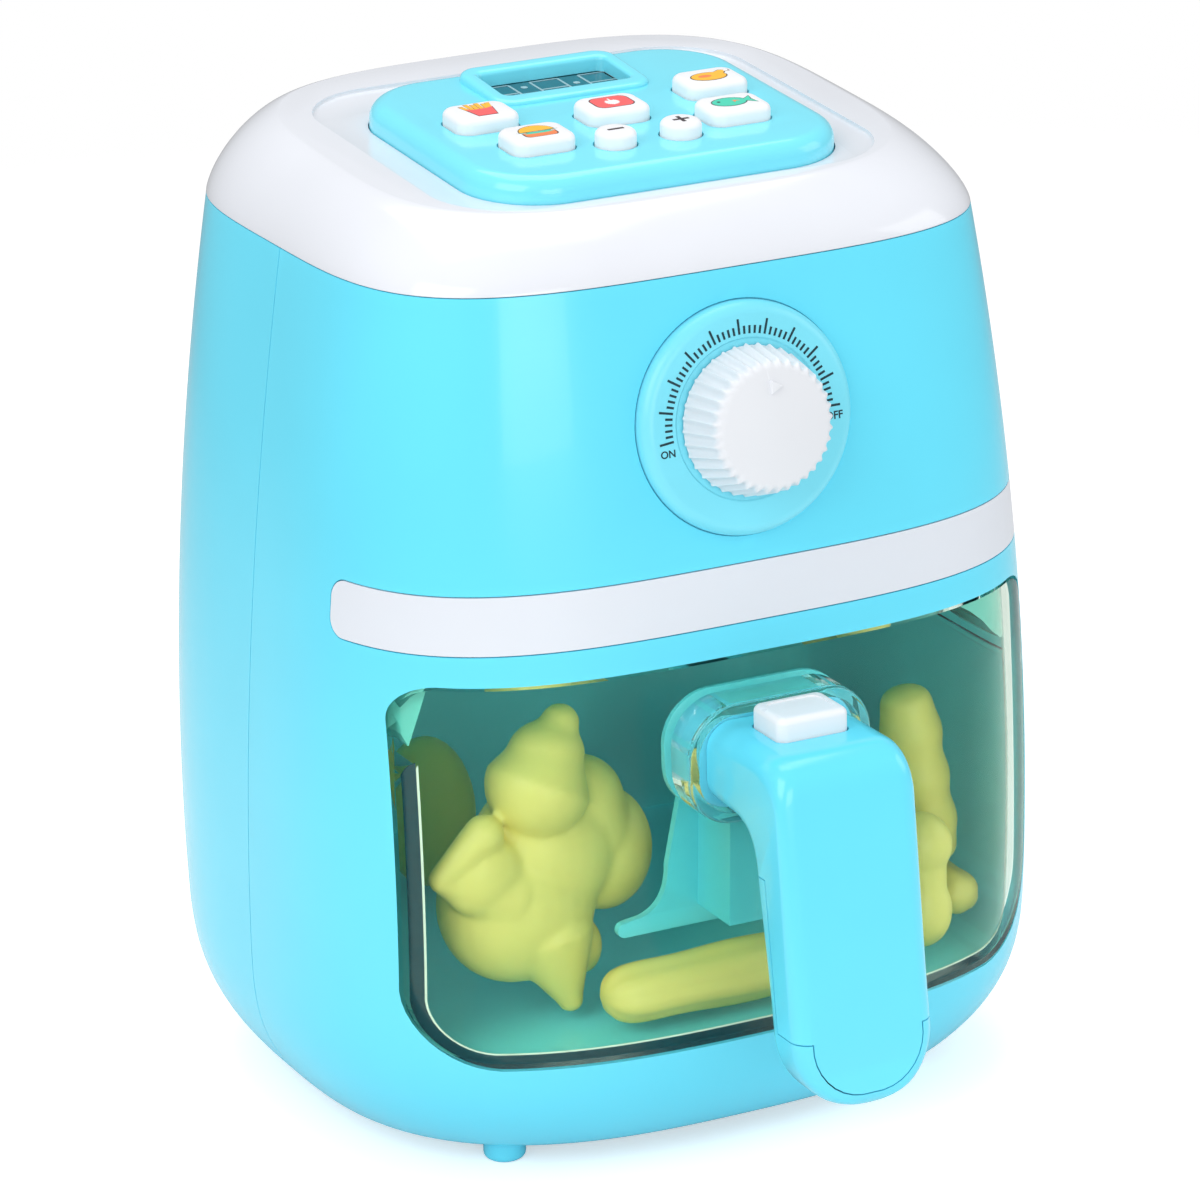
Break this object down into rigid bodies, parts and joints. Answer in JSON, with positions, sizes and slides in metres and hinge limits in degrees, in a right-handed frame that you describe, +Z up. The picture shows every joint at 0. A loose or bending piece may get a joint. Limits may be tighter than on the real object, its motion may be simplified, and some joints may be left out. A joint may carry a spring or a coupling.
{
  "type": "toy air fryer",
  "caption": "Rounded toy air fryer with a clear pull-out drawer, a handle with a push button, a ribbed dial, pressable top buttons and yellow play food.",
  "frame": {"origin": "on the floor under the middle of the whole toy, handle included", "axes": "+Z up, -Y towards the front, where the drawer opens, +X to the right seen from behind"},
  "size_m": [0.1896, 0.2198, 0.239],
  "materials": {
    "blue_shell": "glossy moulded light blue",
    "white_shell": "glossy moulded white",
    "tinted_clear": "clear moulded, lightly tinted",
    "play_food": "satin moulded yellow",
    "bright_steel": "bright plated",
    "cell_jacket": "plain printed sleeve",
    "display_glass": "clear window",
    "display_dark": "dark liquid crystal",
    "keypad_rubber": "soft moulded",
    "board": "coated board",
    "speaker_steel": "dark coated",
    "dark_plastic": "moulded",
    "inner_plastic": "moulded"
  },
  "bodies": {
    "housing": {"control_panel": "blue_shell", "display_lens": "display_glass", "display_module": "display_dark", "keypad_mat": "keypad_rubber", "circuit_board": "board", "board_screw_1": "bright_steel", "board_screw_2": "bright_steel", "board_screw_3": "bright_steel", "board_screw_4": "bright_steel", "dial_bezel": "blue_shell", "dial_switch": "dark_plastic", "front_housing": "blue_shell", "rear_housing": "blue_shell", "housing_screw_1": "bright_steel", "housing_screw_2": "bright_steel", "housing_screw_3": "bright_steel", "housing_screw_4": "bright_steel", "front_band": "white_shell", "top_cap": "white_shell", "bay_liner": "blue_shell", "battery_box": "inner_plastic", "battery_1": "cell_jacket", "battery_2": "cell_jacket", "battery_3": "cell_jacket", "battery_contact_1": "bright_steel", "battery_contact_2": "bright_steel", "battery_contact_3": "bright_steel", "battery_contact_4": "bright_steel", "battery_cover": "blue_shell", "battery_cover_screw": "bright_steel", "speaker": "speaker_steel"},
    "drawer": {"drawer_front": "tinted_clear", "drawer_tub": "tinted_clear", "handle_bracket": "blue_shell", "handle_shell": "blue_shell", "handle_back": "blue_shell", "neck_screw_1": "bright_steel", "neck_screw_2": "bright_steel", "grip_screw": "bright_steel", "handle_spring": "bright_steel", "play_chicken": "play_food", "play_cob": "play_food", "play_bean": "play_food", "play_drumstick": "play_food", "play_nugget": "play_food", "play_egg": "play_food", "play_bun": "play_food"},
    "release_button": {"handle_button": "white_shell"},
    "dial": {"dial_knob": "white_shell", "dial_spindle": "white_shell", "dial_clip": "bright_steel"},
    "fries_key": {"fries_button": "white_shell"},
    "chicken_key": {"chicken_button": "white_shell"},
    "burger_key": {"burger_button": "white_shell"},
    "fish_key": {"fish_button": "white_shell"},
    "power_key": {"power_button": "white_shell"},
    "minus_key": {"minus_button": "white_shell"},
    "plus_key": {"plus_button": "white_shell"}
  },
  "joints": [
    {"name": "drawer_slide", "type": "slide", "parent": "housing", "child": "drawer", "axis": [0, -1, 0], "range_m": [0, 0.11]},
    {"name": "release_press", "type": "slide", "parent": "drawer", "child": "release_button", "axis": [0, 0, -1], "range_m": [0, 0.003], "stiffness_N_per_m": 350, "deforming": ["handle_spring"]},
    {"name": "dial_turn", "type": "hinge", "parent": "housing", "child": "dial", "pos_m": [0, -0.05352, 0.1785], "axis": [0, -0.9926, 0.1213], "range_deg": [-97, 97]},
    {"name": "fries_press", "type": "slide", "parent": "housing", "child": "fries_key", "axis": [0, 0.0619, -0.9981], "range_m": [0, 0.0015], "stiffness_N_per_m": 300},
    {"name": "chicken_press", "type": "slide", "parent": "housing", "child": "chicken_key", "axis": [0, 0.0619, -0.9981], "range_m": [0, 0.0015], "stiffness_N_per_m": 300},
    {"name": "burger_press", "type": "slide", "parent": "housing", "child": "burger_key", "axis": [0, 0.0619, -0.9981], "range_m": [0, 0.0015], "stiffness_N_per_m": 300},
    {"name": "fish_press", "type": "slide", "parent": "housing", "child": "fish_key", "axis": [0, 0.0619, -0.9981], "range_m": [0, 0.0015], "stiffness_N_per_m": 300},
    {"name": "power_press", "type": "slide", "parent": "housing", "child": "power_key", "axis": [0, 0.0619, -0.9981], "range_m": [0, 0.0015], "stiffness_N_per_m": 300},
    {"name": "minus_press", "type": "slide", "parent": "housing", "child": "minus_key", "axis": [0, 0.0619, -0.9981], "range_m": [0, 0.0015], "stiffness_N_per_m": 300},
    {"name": "plus_press", "type": "slide", "parent": "housing", "child": "plus_key", "axis": [0, 0.0619, -0.9981], "range_m": [0, 0.0015], "stiffness_N_per_m": 300}
  ]
}
